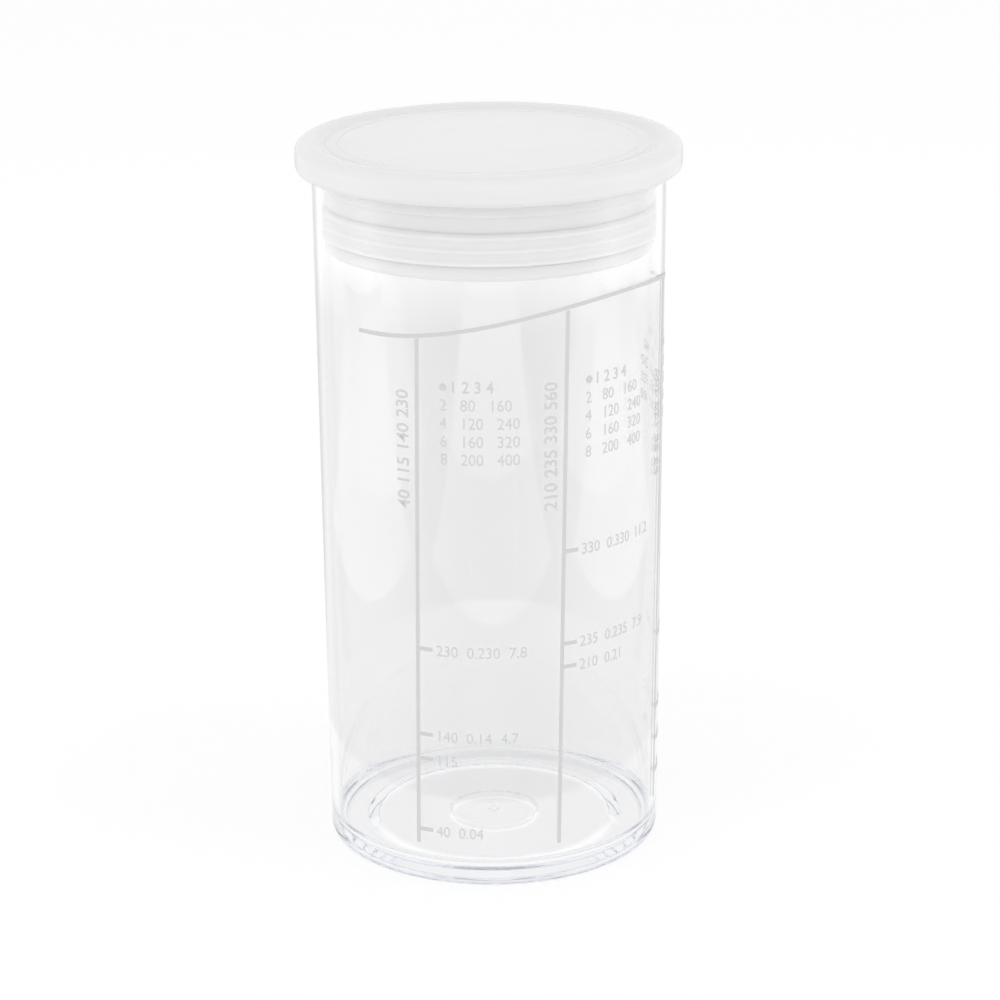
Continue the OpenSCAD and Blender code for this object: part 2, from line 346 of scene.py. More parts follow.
def worked(tree, kind, operation, values):
    """A node that works out one operation on up to three values or sockets."""
    node = tree.nodes.new(kind)
    node.operation = operation
    for socket, value in zip(node.inputs, values):
        feed(tree, socket, value)
    return node


def math(tree, operation, *values):
    """A Math node's output for up to three values or sockets."""
    return worked(tree, "ShaderNodeMath", operation, values).outputs[0]


def whole(tree, operation, a, b):
    """An Integer Math node's output for two values or sockets."""
    return worked(tree, "FunctionNodeIntegerMath", operation, (a, b)).outputs[0]


def mapped(tree, value, **ends):
    """A value mapped from one span to another, and held at its ends."""
    return add(tree, "ShaderNodeMapRange", Value=value, **ends).outputs[0]


def between(tree, factor, low, high):
    """A value between low and high by a factor."""
    return math(tree, "MULTIPLY_ADD", factor, math(tree, "SUBTRACT", high, low), low)


def noise(tree, place, scale, detail):
    """A soft random value that changes over the surface."""
    return add(tree, "ShaderNodeTexNoise", Vector=place, Scale=scale, Detail=detail).outputs[0]


def mixed(tree, factor, plain, other):
    """A mix of two shaders, all plain at nought and all other at one."""
    mix = tree.nodes.new("ShaderNodeMixShader")
    for socket, value in zip(mix.inputs, (factor, plain, other)):
        feed(tree, socket, value)
    return mix.outputs[0]


def finish_tree(tree, geometry, material, result):
    """Ends a Geometry Nodes tree with real geometry in its material."""
    real = add(tree, "GeometryNodeRealizeInstances", Geometry=geometry)
    done = add(tree, "GeometryNodeSetMaterial", Geometry=real.outputs[0], Material=material)
    tree.links.new(done.outputs[0], result)


def new_tree(name, kind, inputs, outputs):
    """A node group with the named inputs and outputs, and its two end nodes."""
    tree = bpy.data.node_groups.new(name, kind)
    for label, socket, default in inputs:
        made = tree.interface.new_socket(label, in_out="INPUT", socket_type=socket)
        if default is not None:
            made.default_value = default
    for label, socket in outputs:
        tree.interface.new_socket(label, in_out="OUTPUT", socket_type=socket)
    return tree, tree.nodes.new("NodeGroupInput"), tree.nodes.new("NodeGroupOutput")


def turning_tree():
    """Geometry Nodes that turn a half section, drawn in XZ, round the Z axis into a closed solid."""
    tree, start, end = new_tree(
        "Turned solid",
        "GeometryNodeTree",
        [
            ("Section", "NodeSocketGeometry", None),
            ("Steps Round", "NodeSocketInt", 240),
            ("Crease Angle", "NodeSocketFloat", radians(32)),
            ("Weld Distance", "NodeSocketFloat", 2e-6),
            ("Finish", "NodeSocketMaterial", None),
        ],
        [("Solid", "NodeSocketGeometry")],
    )
    count = add(tree, "GeometryNodeAttributeDomainSize", Geometry=start.outputs["Section"])
    points = count.outputs["Point Count"]
    columns = whole(tree, "ADD", start.outputs["Steps Round"], 1)
    grid = add(tree, "GeometryNodeMeshGrid", Vertices_X=columns, Vertices_Y=points)
    index = tree.nodes.new("GeometryNodeInputIndex").outputs[0]
    along = whole(tree, "MODULO", index, points)
    column = whole(tree, "DIVIDE_FLOOR", index, points)
    sample = add(
        tree,
        "GeometryNodeSampleIndex",
        {"data_type": "FLOAT_VECTOR"},
        Geometry=start.outputs["Section"],
        Value=tree.nodes.new("GeometryNodeInputPosition").outputs[0],
        Index=along,
    )
    section = add(tree, "ShaderNodeSeparateXYZ", Vector=sample.outputs["Value"])
    part = math(tree, "DIVIDE", column, start.outputs["Steps Round"])
    angle = math(tree, "MULTIPLY", part, 2 * pi)
    x = math(tree, "MULTIPLY", section.outputs["X"], math(tree, "COSINE", angle))
    y = math(tree, "MULTIPLY", section.outputs["X"], math(tree, "SINE", angle))
    place = add(tree, "ShaderNodeCombineXYZ", X=x, Y=y, Z=section.outputs["Z"])
    turned = add(tree, "GeometryNodeSetPosition", Geometry=grid.outputs["Mesh"], Position=place.outputs[0])
    welded = add(
        tree,
        "GeometryNodeMergeByDistance",
        Geometry=turned.outputs[0],
        Distance=start.outputs["Weld Distance"],
    )
    smooth = add(tree, "GeometryNodeSetShadeSmooth", Geometry=welded.outputs[0], Shade_Smooth=True)
    edge = tree.nodes.new("GeometryNodeInputMeshEdgeAngle").outputs["Unsigned Angle"]
    sharp = worked(tree, "FunctionNodeCompare", "GREATER_THAN", (edge, start.outputs["Crease Angle"]))
    creased = add(
        tree,
        "GeometryNodeSetShadeSmooth",
        {"domain": "EDGE"},
        Geometry=smooth.outputs[0],
        Selection=sharp.outputs[0],
        Shade_Smooth=False,
    )
    finish_tree(tree, creased.outputs[0], start.outputs["Finish"], end.inputs["Solid"])


def wrapping_tree():
    """Geometry Nodes that lay a flat print, drawn in XZ with its thickness along Y, on the tapered wall."""
    tree, start, end = new_tree(
        "Wrapped print",
        "GeometryNodeTree",
        [
            ("Print", "NodeSocketGeometry", None),
            ("Foot Radius", "NodeSocketFloat", 0.038),
            ("Wall Slope", "NodeSocketFloat", 0.0),
            ("Middle Height", "NodeSocketFloat", 0.08),
            ("Gap", "NodeSocketFloat", 0.00003),
            ("Ink", "NodeSocketMaterial", None),
        ],
        [("Film", "NodeSocketGeometry")],
    )
    here = tree.nodes.new("GeometryNodeInputPosition").outputs[0]
    flat = add(tree, "ShaderNodeSeparateXYZ", Vector=here)
    slope, foot = start.outputs["Wall Slope"], start.outputs["Foot Radius"]
    middle = math(tree, "MULTIPLY_ADD", start.outputs["Middle Height"], slope, foot)
    angle = math(tree, "DIVIDE", flat.outputs["X"], middle)
    wall = math(tree, "MULTIPLY_ADD", flat.outputs["Z"], slope, foot)
    lift = math(tree, "SUBTRACT", start.outputs["Gap"], flat.outputs["Y"])
    r = math(tree, "ADD", wall, lift)
    x = math(tree, "MULTIPLY", r, math(tree, "SINE", angle))
    y = math(tree, "MULTIPLY", math(tree, "MULTIPLY", r, math(tree, "COSINE", angle)), -1.0)
    place = add(tree, "ShaderNodeCombineXYZ", X=x, Y=y, Z=flat.outputs["Z"])
    laid = add(tree, "GeometryNodeSetPosition", Geometry=start.outputs["Print"], Position=place.outputs[0])
    finish_tree(tree, laid.outputs[0], start.outputs["Ink"], end.inputs["Film"])


def through_nodes(name, mesh, tree, **inputs):
    """Runs a mesh through a Geometry Nodes tree and returns the result as a plain object at the origin."""
    maker = bpy.data.objects.new(name + "_maker", mesh)
    bpy.context.collection.objects.link(maker)
    modifier = maker.modifiers.new(tree.name, "NODES")
    modifier.node_group = tree
    sockets = {s.name: s.identifier for s in tree.interface.items_tree if s.in_out == "INPUT"}
    for label, value in inputs.items():
        modifier[sockets[label.replace("_", " ")]] = value
    graph = bpy.context.evaluated_depsgraph_get()
    made = bpy.data.meshes.new_from_object(maker.evaluated_get(graph), depsgraph=graph)
    bpy.data.objects.remove(maker)
    made.name = name
    piece = bpy.data.objects.new(name, made)
    bpy.context.collection.objects.link(piece)
    if not made.polygons:
        raise RuntimeError(f"{name} came out empty")
    return piece


def volume_of(mesh):
    """Signed volume of a closed mesh, below nought if its faces point inwards."""
    mesh.calc_loop_triangles()
    at = [v.co for v in mesh.vertices]
    corners = ([at[i] for i in t.vertices] for t in mesh.loop_triangles)
    return sum(a.dot(b.cross(c)) for a, b, c in corners) / 6


def turned_piece(name, outline, steps, finish):
    """A closed solid turned from a half section given as (radius, height) points."""
    mesh = bpy.data.meshes.new(name + "_section")
    mesh.from_pydata([(r, 0, z) for r, z in outline], [(i, i + 1) for i in range(len(outline) - 1)], [])
    tree = bpy.data.node_groups["Turned solid"]
    piece = through_nodes(name, mesh, tree, Steps_Round=steps, Finish=finish)
    if volume_of(piece.data) < 0:
        piece.data.flip_normals()
    return piece


def wall_slope(b):
    """How much the wall's radius grows for each metre of height."""
    return (b.top_r - b.foot_r) / BEAKER_HIGH.z


def wall_r(b, z, inwards=0.0):
    """Radius of the tapered wall at a height, on its outside or some way inwards."""
    return b.foot_r + wall_slope(b) * z - inwards


def spread(start, end, steps):
    """Even values between two ends, without the ends."""
    return [start + (end - start) * i / steps for i in range(1, steps)]


def beaker_section(b):
    """Half section of the beaker: under the floor, up the wall, over the rim and down the inside."""
    floor_z = b.recess_h + b.floor_t
    recess_r = b.foot_r - b.foot_ring_w - b.recess_slope_w
    under = [
        (0, b.recess_h + b.gate_h - b.nub_h),
        (b.nub_r, b.recess_h + b.gate_h - b.nub_h),
        (b.nub_r, b.recess_h + b.gate_h),
        (b.gate_r, b.recess_h + b.gate_h),
        (b.gate_r + b.gate_h, b.recess_h),
        (recess_r, b.recess_h),
        (recess_r + b.recess_slope_w, 0),
    ]
    foot = b.foot_corner_r
    corner = arc(wall_r(b, foot) - foot, foot, foot, foot, -90, 0, 12)
    under = soften(under + [corner[0]], b.edge_soft)[:-1]
    rim_z, mouth_z = BEAKER_HIGH.z - b.rim_edge_r, BEAKER_HIGH.z - b.mouth_r
    wall = [(wall_r(b, z), z) for z in spread(foot, rim_z, 14)]
    rim = arc(wall_r(b, rim_z) - b.rim_edge_r, rim_z, b.rim_edge_r, b.rim_edge_r, 0, 90, 8)
    mouth = arc(wall_r(b, mouth_z, b.wall_t) + b.mouth_r, mouth_z, b.mouth_r, b.mouth_r, 90, 180, 10)
    cove_r, cove_z = b.floor_corner_r, floor_z + b.floor_corner_r
    inside = [(wall_r(b, z, b.wall_t), z) for z in spread(mouth_z, cove_z, 12)]
    cove = arc(wall_r(b, cove_z, b.wall_t) - cove_r, cove_z, cove_r, cove_r, 0, -90, 14)
    middle = [(r, floor_z) for r in FLOOR_RINGS]
    return held(under + corner + wall + rim + mouth + inside + cove[1:] + middle)


def lid_section(d, s):
    """Half section of the lid: sunk disc, crest, side, groove for the rim, collar, plug and its inside."""
    disc_z = d.top_z - d.disc_drop
    crest_r = d.edge_r - d.crest_in
    disc_r = crest_r - d.crest_slope_w
    ceiling = disc_z - d.plate_t
    rings = []
    for r in (disc_r - d.ring_in, disc_r - d.ring_w / 2):
        rings += [(r - d.ring_w / 2, disc_z), (r, disc_z - d.ring_h), (r + d.ring_w / 2, disc_z)]
    rings = soften([(disc_r - d.ring_field, disc_z)] + rings, d.ring_soft, 2, 8)
    slope = [
        (disc_r + d.crest_slope_w * t, disc_z + d.disc_drop * (1 - cos(pi * t)) / 2)
        for t in spread(0, 1, 14)
    ]
    side = [
        (crest_r + d.crest_in * cos(a), d.top_z - d.crest_round_h * (1 - sin(a)))
        for a in (radians(90 - 90 * i / 20) for i in range(21))
    ]
    skirt_z = d.seat_z - d.skirt_h
    under = arc(d.edge_r - d.under_r, skirt_z + d.under_r, d.under_r, d.under_r, 0, -90, 10)
    lip = d.groove_edge_r
    under += arc(d.groove_r + lip, skirt_z + lip, lip, lip, -90, -180, 6)
    seat = d.plug_r - s.sleeve_t
    inner_r = d.plug_r - d.plug_wall_t
    below = soften(
        [
            under[-1],
            (d.groove_r, d.seat_z),
            (d.collar_r, d.seat_z),
            (d.collar_r, d.collar_z + d.collar_bevel),
            (d.collar_r - d.collar_bevel, d.collar_z),
            (d.plug_r, d.collar_z),
            (d.plug_r, SEAL_HIGH.z),
            (seat, SEAL_HIGH.z),
            (seat, SEAL_LOW.z),
            (d.plug_r, SEAL_LOW.z),
            (d.plug_r, d.plug_z + d.plug_bevel),
            (d.plug_r - d.plug_bevel, d.plug_z),
            (inner_r, d.plug_z),
            (inner_r, ceiling - d.fillet_r),
        ],
        d.plug_soft,
    )
    fillet = arc(inner_r - d.fillet_r, ceiling - d.fillet_r, d.fillet_r, d.fillet_r, 0, 90, 8)
    outside = [(r, disc_z) for r in DISC_RINGS] + rings + slope + side + under
    return held(outside + below[1:-1] + fillet + [(0, ceiling)])


def seal_section(d, s):
    """Half section of the sleeve with its drooping lips, closed back on its first point."""
    low, high = SEAL_LOW.z, SEAL_HIGH.z
    seat = d.plug_r - s.sleeve_t
    line = [(seat, low), (d.plug_r, low)]
    reach = s.lip_r - d.plug_r
    below_out, below_droop, below_t = LIP_BEND_BELOW
    above_out, above_droop, above_t = LIP_BEND_ABOVE
    for i in range(s.lips):
        z = low + s.sleeve_end + s.root_t / 2 + i * s.pitch
        line += [
            (d.plug_r, z - s.root_t / 2),
            (d.plug_r + reach * below_out, z - s.droop * below_droop - s.tip_t * below_t),
            (s.lip_r, z - s.droop - s.tip_t / 2),
            (s.lip_r, z - s.droop + s.tip_t / 2),
            (d.plug_r + reach * above_out, z - s.droop * above_droop + s.tip_t * above_t),
            (d.plug_r, z + s.root_t / 2),
        ]
    line += [(d.plug_r, high), (seat, high)]
    return held(soften(line, s.lip_soft, 3, 10) + [line[0]])


def moulded_skin():
    """Shader group for moulded plastic: a slow change of gloss, fine flow waves and small marks."""
    tree, start, end = new_tree(
        "Moulded skin",
        "ShaderNodeTree",
        [
            ("Place", "NodeSocketVector", None),
            ("Gloss", "NodeSocketFloat", 0.3),
            ("Gloss Spread", "NodeSocketFloat", 0.05),
            ("Grain", "NodeSocketFloat", 4000.0),
            ("Waves", "NodeSocketFloat", 60.0),
            ("Marks", "NodeSocketFloat", 0.1),
        ],
        [("Roughness", "NodeSocketFloat"), ("Height", "NodeSocketFloat")],
    )
    place = start.outputs["Place"]
    slow = noise(tree, place, start.outputs["Waves"], 2.0)
    fine = noise(tree, place, start.outputs["Grain"], 1.0)
    stretched = add(
        tree, "ShaderNodeMapping", Vector=place, Scale=(1.0, 1.0, 0.06), Rotation=(0.5, 0.2, 0.0)
    )
    hairs = mapped(tree, noise(tree, stretched.outputs[0], 900.0, 2.0), From_Min=0.66, From_Max=0.74)
    patches = mapped(tree, noise(tree, place, 35.0, 3.0), From_Min=0.5, From_Max=0.7)
    wear = math(tree, "MULTIPLY", hairs, patches)
    wear = math(tree, "MULTIPLY", wear, start.outputs["Marks"])
    off = math(tree, "SUBTRACT", slow, 0.5)
    swing = math(tree, "MULTIPLY", off, start.outputs["Gloss Spread"])
    rough = math(tree, "ADD", start.outputs["Gloss"], swing)
    rough = math(tree, "ADD", rough, math(tree, "MULTIPLY", wear, 0.25))
    clamped = add(tree, "ShaderNodeClamp", Value=rough, Min=0.0, Max=1.0)
    height = math(tree, "MULTIPLY_ADD", fine, 0.15, slow)
    height = math(tree, "SUBTRACT", height, math(tree, "MULTIPLY", wear, 0.5))
    tree.links.new(clamped.outputs[0], end.inputs["Roughness"])
    tree.links.new(height, end.inputs["Height"])


def tone_drift():
    """Shader group that lets a colour drift a little over a piece, as pigment does."""
    tree, start, end = new_tree(
        "Tone drift",
        "ShaderNodeTree",
        [
            ("Place", "NodeSocketVector", None),
            ("Colour", "NodeSocketColor", (0.8, 0.8, 0.8, 1.0)),
            ("Drift", "NodeSocketFloat", 0.03),
            ("Scale", "NodeSocketFloat", 50.0),
        ],
        [("Colour", "NodeSocketColor")],
    )
    soft = noise(tree, start.outputs["Place"], start.outputs["Scale"], 3.0)
    swing = math(tree, "MULTIPLY", math(tree, "SUBTRACT", soft, 0.5), start.outputs["Drift"])
    value = math(tree, "ADD", swing, 1.0)
    tint = add(tree, "ShaderNodeHueSaturation", Color=start.outputs["Colour"], Value=value)
    tree.links.new(tint.outputs[0], end.inputs["Colour"])


def group(tree, inner, **inputs):
    """Places a shader group in a material's tree and sets its inputs."""
    return add(tree, "ShaderNodeGroup", {"node_tree": bpy.data.node_groups[inner]}, **inputs)


def new_material(name):
    """An empty node material, its tree, output node and Object coordinates."""
    made = bpy.data.materials.new(name)
    made.use_nodes = True
    tree = made.node_tree
    tree.nodes.clear()
    place = tree.nodes.new("ShaderNodeTexCoord").outputs["Object"]
    return made, tree, tree.nodes.new("ShaderNodeOutputMaterial"), place


def rgba(colour):
    """A colour with its alpha."""
    return (*colour, 1.0)


def clear_plastic(b):
    """Clear moulded plastic with a faint blue-grey tint in its thick places."""
    made, tree, out, place = new_material("Clear plastic")
    skin = group(
        tree,
        "Moulded skin",
        Place=place,
        Gloss=0.012,
        Gloss_Spread=0.02,
        Grain=1500.0,
        Waves=45.0,
        Marks=0.15,
    )
    bump = add(tree, "ShaderNodeBump", Height=skin.outputs["Height"], Strength=0.06, Distance=0.0002)
    solid = add(
        tree,
        "ShaderNodeBsdfPrincipled",
        Base_Color=rgba(b.clear),
        Roughness=skin.outputs["Roughness"],
        IOR=1.57,
        Transmission_Weight=1.0,
        Normal=bump.outputs[0],
    )
    surface = lit_through(tree, solid.outputs[0], 1.0, (b.passing, b.passing, b.passing))
    tree.links.new(surface, out.inputs["Surface"])
    depth = add(tree, "ShaderNodeVolumeAbsorption", Color=rgba(b.depth_tint), Density=b.density)
    tree.links.new(depth.outputs[0], out.inputs["Volume"])
    return made


def lit_through(tree, solid, part, tint):
    """A finish that lets a part of the lamps' and the soft light through, with a tint."""
    path = tree.nodes.new("ShaderNodeLightPath")
    lamp_side = math(tree, "MAXIMUM", path.outputs["Is Shadow Ray"], path.outputs["Is Diffuse Ray"])
    passing = add(tree, "ShaderNodeBsdfTransparent", Color=rgba(tint))
    return mixed(tree, math(tree, "MULTIPLY", lamp_side, part), solid, passing.outputs[0])


def opaque(name, colour, gloss, gloss_spread, drift, relief, ior, bleed=0.0, passing=0.0):
    """Moulded or printed finish with a little drift. passing is the lamps' light that comes through."""
    made, tree, out, place = new_material(name)
    tone = group(tree, "Tone drift", Place=place, Colour=rgba(colour), Drift=drift, Scale=60.0)
    skin = group(
        tree,
        "Moulded skin",
        Place=place,
        Gloss=gloss,
        Gloss_Spread=gloss_spread,
        Grain=6000.0,
        Waves=120.0,
        Marks=0.2,
    )
    bump = add(tree, "ShaderNodeBump", Height=skin.outputs["Height"], Strength=relief, Distance=0.0002)
    body = add(
        tree,
        "ShaderNodeBsdfPrincipled",
        Base_Color=tone.outputs[0],
        Roughness=skin.outputs["Roughness"],
        Normal=bump.outputs[0],
        IOR=ior,
        Subsurface_Weight=1.0 if bleed else 0.0,
        Subsurface_Radius=(bleed, bleed, bleed),
        Subsurface_Scale=1.0,
    )
    surface = lit_through(tree, body.outputs[0], passing, (1, 1, 1)) if passing else body.outputs[0]
    tree.links.new(surface, out.inputs["Surface"])
    return made


def flat_text(body, x, z, height, narrow, thickness, bold=0.0, upright=False):
    """Digits as a flat mesh in XZ, thick along -Y, from the point (x, z) on."""
    curve = bpy.data.curves.new("digits", "FONT")
    curve.body = body
    curve.size = 1.0
    curve.offset = bold
    curve.resolution_u = 3
    curve.fill_mode = "BOTH"
    curve.extrude = 0.5
    holder = bpy.data.objects.new("digits", curve)
    bpy.context.collection.objects.link(holder)
    graph = bpy.context.evaluated_depsgraph_get()
    mesh = bpy.data.meshes.new_from_object(holder.evaluated_get(graph), depsgraph=graph)
    bpy.data.objects.remove(holder)
    bpy.data.curves.remove(curve)
    scale = height / DIGIT_SHARE
    place = Matrix.Translation((x, -thickness / 2, z))
    if upright:
        place = place @ Matrix.Rotation(radians(-90), 4, "Y")
    size = Matrix.Diagonal((scale * narrow, thickness, scale, 1))
    mesh.transform(place @ size @ Matrix.Rotation(radians(90), 4, "X"))
    return mesh


def dot(x, z, r, thickness, steps=24):
    """A round bullet as a flat mesh in XZ, thick along -Y."""
    ring = [(x + r * cos(2 * pi * i / steps), z + r * sin(2 * pi * i / steps)) for i in range(steps)]
    back = [(u, 0, w) for u, w in ring]
    front = [(u, -thickness, w) for u, w in ring]
    faces = [tuple(reversed(range(steps))), tuple(range(steps, 2 * steps))]
    faces += [(i, (i + 1) % steps, (i + 1) % steps + steps, i + steps) for i in range(steps)]
    mesh = bpy.data.meshes.new("dot")
    mesh.from_pydata(back + front, [], faces)
    if volume_of(mesh) < 0:
        mesh.flip_normals()
    return mesh


def joined(name, meshes):
    """One mesh from several."""
    points, faces = [], []
    for mesh in meshes:
        first = len(points)
        points += [v.co.copy() for v in mesh.vertices]
        faces += [tuple(first + i for i in p.vertices) for p in mesh.polygons]
        bpy.data.meshes.remove(mesh)
    made = bpy.data.meshes.new(name)
    made.from_pydata(points, [], faces)
    return made


def upright_prints(p, around):
    """Tick labels and title of each upright line. around is the wall's radius at half height."""
    parts = []
    for angle, ticks, title in UPRIGHTS:
        line_x = radians(angle) * around
        for z, label in ticks:
            lean = radians(LEAN * (z - LEAN_FROM)) * around
            x, low = line_x + lean + p.label_in, z * MM - p.digit_h / 2
            parts.append(flat_text(label, x, low, p.digit_h, p.narrow, p.ink_t))
        x, wide = line_x - p.title_out, p.narrow * p.title_wide
        parts.append(flat_text(title, x, p.title_z, p.title_h, wide, p.ink_t, bold=BOLD, upright=True))
    return parts


def row_prints(p, around):
    """The blocks of rows, each with a bullet before its first row. around is the radius at half height."""
    parts = []
    for angle in BLOCKS:
        x = radians(angle) * around
        parts.append(dot(x + p.bullet_in, p.rows_z + p.bullet_up, p.bullet_r, p.ink_t))
        parts.append(flat_text(ROWS[0], x + p.first_in, p.rows_z, p.digit_h, p.narrow, p.ink_t, bold=BOLD))
        for i, row in enumerate(ROWS[1:], 1):
            parts.append(flat_text(row, x, p.rows_z - i * p.row_step, p.digit_h, p.narrow, p.ink_t))
    return parts


class SHAKER_OT_beaker(bpy.types.Operator):
    """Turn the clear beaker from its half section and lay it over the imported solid"""

    bl_idname = "shaker.beaker"
    bl_label = "Clear beaker"

    def execute(self, context):
        b = context.scene.shaker_beaker
        piece = turned_piece("clear_beaker", beaker_section(b), b.turns, clear_plastic(b))
        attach(piece, "beaker")
        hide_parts("beaker")
        return {"FINISHED"}


class SHAKER_OT_lid(bpy.types.Operator):
    """Turn the white lid with its plug"""

    bl_idname = "shaker.lid"
    bl_label = "White lid"

    def execute(self, context):
        d, s, b = context.scene.shaker_lid, context.scene.shaker_seal, context.scene.shaker_beaker
        finish = opaque(
            "Lid plastic",
            d.white,
            gloss=0.22,
            gloss_spread=0.05,
            drift=0.015,
            relief=0.08,
            ior=1.5,
            bleed=d.bleed,
            passing=d.passing,
        )
        piece = turned_piece("white_lid", lid_section(d, s), b.turns, finish)
        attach(piece, "lid")
        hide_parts("lid_cap")
        return {"FINISHED"}


class SHAKER_OT_seal(bpy.types.Operator):
    """Turn the soft sleeve with its sealing lips"""

    bl_idname = "shaker.seal"
    bl_label = "Soft seal"

    def execute(self, context):
        d, s, b = context.scene.shaker_lid, context.scene.shaker_seal, context.scene.shaker_beaker
        finish = opaque(
            "Soft seal",
            s.milky,
            gloss=0.5,
            gloss_spread=0.08,
            drift=0.02,
            relief=0.1,
            ior=1.45,
            bleed=s.bleed,
            passing=s.passing,
        )
        piece = turned_piece("soft_seal", seal_section(d, s), b.turns, finish)
        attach(piece, "lid")
        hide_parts("lip_seal")
        return {"FINISHED"}


class SHAKER_OT_scale(bpy.types.Operator):
    """Give the printed lines and ticks their ink and add plain numbers beside them"""

    bl_idname = "shaker.scale"
    bl_label = "Printed scale"

    def execute(self, context):
        p, b = context.scene.shaker_print, context.scene.shaker_beaker
        ink = opaque("Print ink", p.ink, gloss=0.55, gloss_spread=0.1, drift=0.04, relief=0.05, ior=1.45)
        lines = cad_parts["scale_print"]
        lines.data.materials.clear()
        lines.data.materials.append(ink)
        middle = BEAKER_HIGH.z / 2
        around = wall_r(b, middle)
        piece = through_nodes(
            "print_numbers",
            joined("print_numbers_flat", upright_prints(p, around) + row_prints(p, around)),
            bpy.data.node_groups["Wrapped print"],
            Foot_Radius=b.foot_r,
            Wall_Slope=wall_slope(b),
            Middle_Height=middle,
            Gap=p.ink_gap,
            Ink=ink,
        )
        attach(piece, "beaker")
        return {"FINISHED"}


def seen_ray(tree):
    """One for camera, gloss and glass rays, and nought for light on the object."""
    path = tree.nodes.new("ShaderNodeLightPath")
    rays = math(tree, "MAXIMUM", path.outputs["Is Camera Ray"], path.outputs["Is Glossy Ray"])
    return math(tree, "MAXIMUM", rays, path.outputs["Is Transmission Ray"])


def mirrored_ray(tree):
    """One for rays that a glossy surface has thrown back into the room."""
    path = tree.nodes.new("ShaderNodeLightPath")
    return math(tree, "GREATER_THAN", path.outputs["Glossy Depth"], 0.5)


def level_place(tree, place):
    """The place with its height taken out."""
    return worked(tree, "ShaderNodeVectorMath", "MULTIPLY", (place, (1, 1, 0))).outputs["Vector"]


def distance_out(tree, place):
    """Distance from the object's axis."""
    flat = level_place(tree, place)
    return worked(tree, "ShaderNodeVectorMath", "LENGTH", (flat,)).outputs["Value"]


def backness(tree, place):
    """Cosine of the angle from straight behind the object, seen from above."""
    flat = level_place(tree, place)
    unit = worked(tree, "ShaderNodeVectorMath", "NORMALIZE", (flat,)).outputs["Vector"]
    return add(tree, "ShaderNodeSeparateXYZ", Vector=unit).outputs["Y"]


def painted_light_ring(tree, place, r, half_width):
    """Mask of a painted light ring: one on a circle round the object and nought from half_width off it."""
    off = math(tree, "ABSOLUTE", math(tree, "SUBTRACT", distance_out(tree, place), r))
    return mapped(tree, off, From_Max=half_width, To_Min=1.0, To_Max=0.0)


def floor_finish(g, b):
    """Plain pale floor that keeps the object's shadow and is lifted to white where it is seen.

    The rings are painted light on the floor, for the light that the steps under the clear foot gather,
    which the renderer doesn't follow with caustics off.
    """
    made, tree, out, place = new_material("Floor")
    recess_r = b.foot_r - b.foot_ring_w - b.recess_slope_w / 2
    # Painted light: rings of glow on the floor, added to its white lift where it is seen
    rings = math(
        tree,
        "MAXIMUM",
        painted_light_ring(tree, place, recess_r, g.painted_ring_half_w),
        painted_light_ring(tree, place, b.gate_r + b.gate_h / 2, g.painted_ring_half_w / 3),
    )
    lift = math(tree, "MULTIPLY_ADD", rings, g.painted_ring_glow, g.lift)
    ground = add(
        tree,
        "ShaderNodeBsdfPrincipled",
        Base_Color=rgba(g.ground),
        Roughness=0.9,
        Specular_IOR_Level=0.0,
        Emission_Color=(1, 1, 1, 1),
        Emission_Strength=math(tree, "MULTIPLY", seen_ray(tree), lift),
    )
    tree.links.new(ground.outputs[0], out.inputs["Surface"])
    made.cycles.emission_sampling = "NONE"
    return made


def mirrored_only(name, brightness, g):
    """A finish that shows its glow in mirrored rays alone. brightness works it out in the finish's tree."""
    made, tree, out, place = new_material(name)
    glow = add(tree, "ShaderNodeEmission", Color=(1, 1, 1, 1), Strength=brightness(tree, place, g))
    clear = tree.nodes.new("ShaderNodeBsdfTransparent")
    surface = mixed(tree, mirrored_ray(tree), clear.outputs[0], glow.outputs[0])
    tree.links.new(surface, out.inputs["Surface"])
    made.cycles.emission_sampling = "NONE"
    return made


def round_ramp(tree, cosine, column):
    """The near (1) or far (2) values of PAINTED_TABLE_ROUND as a ramp over the cosine."""
    ramp = add(tree, "ShaderNodeValToRGB", Fac=math(tree, "MULTIPLY_ADD", cosine, 0.5, 0.5))
    stops = ramp.color_ramp.elements
    while len(stops) < len(PAINTED_TABLE_ROUND):
        stops.new(0.5)
    for stop, row in zip(stops, PAINTED_TABLE_ROUND):
        stop.position = (row[0] + 1) / 2
        stop.color = (row[column], row[column], row[column], 1)
    return ramp.outputs[0]


def painted_table_reflection(tree, place, g):
    """Painted reflection: brightness of the table in gloss, under the object, near it and far from it."""
    cosine, reach = backness(tree, place), distance_out(tree, place)
    near, far = round_ramp(tree, cosine, 1), round_ramp(tree, cosine, 2)
    beyond = between(tree, mapped(tree, reach, From_Min=g.far_start, From_Max=g.far_end), near, far)
    close = between(tree, math(tree, "GREATER_THAN", reach, g.under_r), g.under, g.foot_glow)
    return between(tree, math(tree, "GREATER_THAN", reach, g.foot_glow_r), close, beyond)


def painted_card_reflection(tree, place, g):
    """Painted reflection: brightness of a card in gloss, dimmer on the side of the scale and fading at its
    far end.
    """
    cosine, reach = backness(tree, place), distance_out(tree, place)
    turn = mapped(tree, cosine, From_Min=CARD_TURN[0], From_Max=CARD_TURN[1])
    near = between(tree, turn, g.card_front, g.card_back)
    end = g.card_d + g.card_l
    fade = mapped(tree, reach, From_Min=end - g.card_fade, From_Max=end)
    return between(tree, fade, near, g.card_tip)


